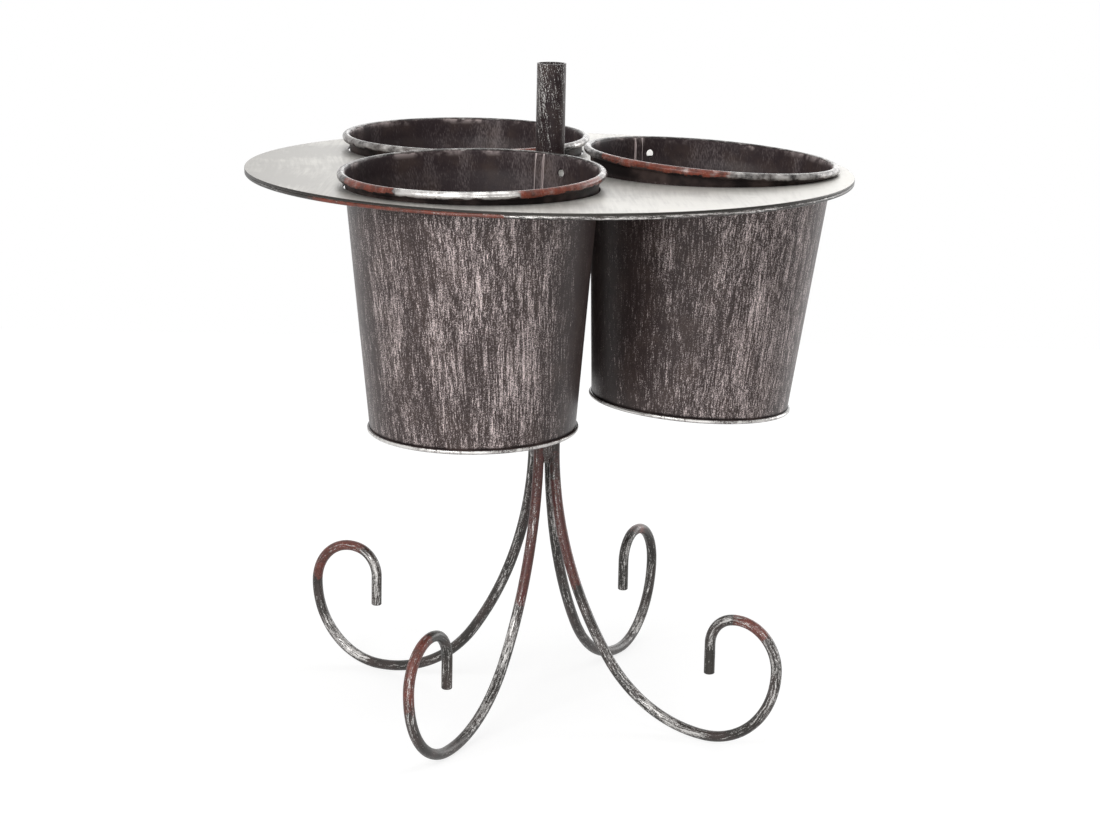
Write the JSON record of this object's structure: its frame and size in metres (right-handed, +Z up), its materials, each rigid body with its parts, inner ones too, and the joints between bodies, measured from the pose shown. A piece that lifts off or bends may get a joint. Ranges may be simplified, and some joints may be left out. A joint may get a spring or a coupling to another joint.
{
  "type": "plant stand",
  "caption": "Plant stand with tapered sheet-metal pots hanging in the holes of a round tray, on a tube post with bent-rod scroll legs.",
  "frame": {"origin": "on the floor, on the post's axis, below the tray's centre", "axes": "+Z up along the post, -Y towards the front of the picture, +X to its right"},
  "size_m": [0.3354, 0.3354, 0.3653],
  "materials": {
    "stand_paint": "dark paint with a silver dry-brushed rub",
    "tray_paint": "satin dark paint, rubbed silver at the edge",
    "pot_paint": "dark paint with upright silver brush strokes and a coppery rim",
    "bare_steel": "plain steel"
  },
  "bodies": {
    "stand": {"lower_post": "stand_paint", "upper_post": "stand_paint", "post_inserts": "bare_steel", "tray_flange": "tray_paint", "tray_stud": "bare_steel", "tray": "tray_paint", "tray_edge_ring": "tray_paint", "base_stud": "bare_steel", "leg_rear_right": "stand_paint", "leg_rear_left": "stand_paint", "leg_front_left": "stand_paint", "leg_front_right": "stand_paint", "hub_weld": "stand_paint"},
    "pot_right": {"pot_right_wall": "pot_paint", "pot_right_base": "pot_paint", "pot_right_rim_wire": "bare_steel"},
    "pot_rear": {"pot_rear_wall": "pot_paint", "pot_rear_base": "pot_paint", "pot_rear_rim_wire": "bare_steel"},
    "pot_front": {"pot_front_wall": "pot_paint", "pot_front_base": "pot_paint", "pot_front_rim_wire": "bare_steel"}
  },
  "joints": [
    {"name": "pot_right_lift", "type": "slide", "parent": "stand", "child": "pot_right", "axis": [0.0628, 0, 0.998], "range_m": [0, 0.15]},
    {"name": "pot_rear_lift", "type": "slide", "parent": "stand", "child": "pot_rear", "axis": [-0.0043, -0.0151, 0.9999], "range_m": [0, 0.15]},
    {"name": "pot_front_lift", "type": "slide", "parent": "stand", "child": "pot_front", "axis": [-0.0156, -0.0351, 0.9993], "range_m": [0, 0.15]}
  ]
}
